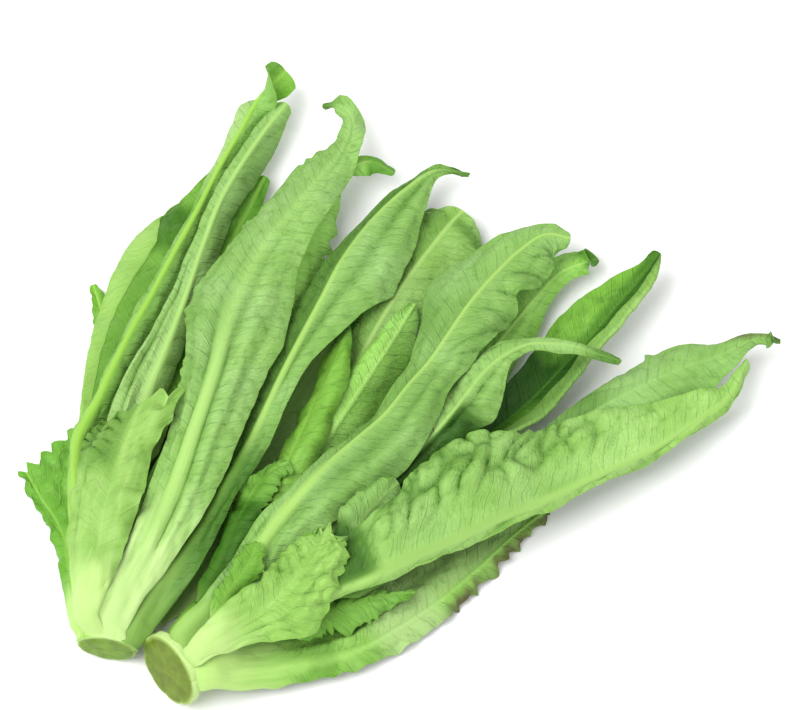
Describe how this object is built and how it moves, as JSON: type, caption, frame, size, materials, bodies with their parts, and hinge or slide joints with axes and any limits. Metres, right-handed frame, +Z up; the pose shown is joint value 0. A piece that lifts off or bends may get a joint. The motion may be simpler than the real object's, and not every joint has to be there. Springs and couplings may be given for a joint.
{
  "type": "a-choy bunch",
  "caption": "Heads of long-leaved stem lettuce lying side by side, leaves fanned out from the cut stems with most of their ribbed undersides up.",
  "frame": {"origin": "middle of the bunch's footprint, on the surface that it lies on", "axes": "+Z up from the surface, square to the spread leaves; the cut stems are at the -X -Y corner, the leaf tips towards +Y and +X"},
  "size_m": [0.4098, 0.378, 0.0576],
  "materials": {
    "leaf_underside": null,
    "leaf_upper_side": null,
    "stem": null
  },
  "bodies": {
    "root": {"left_stem": "stem", "right_stem": "stem", "left_under_outer_leaf": "leaf_upper_side", "left_under_inner_leaf": "leaf_upper_side", "right_under_inner_leaf": "leaf_upper_side", "right_under_outer_leaf": "leaf_upper_side", "middle_under_leaf": "leaf_upper_side", "left_toothed_leaf": "leaf_upper_side", "left_outer_leaf": "leaf_upper_side", "left_inner_leaf": "leaf_upper_side", "left_long_leaf": "leaf_underside", "left_narrow_leaf": "leaf_underside", "right_stalk_leaf": "leaf_underside", "right_ragged_leaf": "leaf_underside", "middle_back_leaf": "leaf_underside", "middle_leaf": "leaf_underside", "middle_bright_leaf": "leaf_upper_side", "right_back_leaf": "leaf_underside", "right_boat_leaf": "leaf_upper_side", "right_curled_leaf": "leaf_underside", "left_back_leaf": "leaf_underside", "middle_ragged_leaf": "leaf_underside", "left_side_leaf": "leaf_underside", "right_hooked_leaf": "leaf_underside", "right_main_leaf": "leaf_underside", "right_side_leaf": "leaf_upper_side", "right_gap_leaf": "leaf_underside", "right_blistered_leaf": "leaf_underside", "left_front_leaf": "leaf_underside", "left_crinkled_leaf": "leaf_underside", "right_crinkled_leaf": "leaf_underside"}
  },
  "joints": []
}
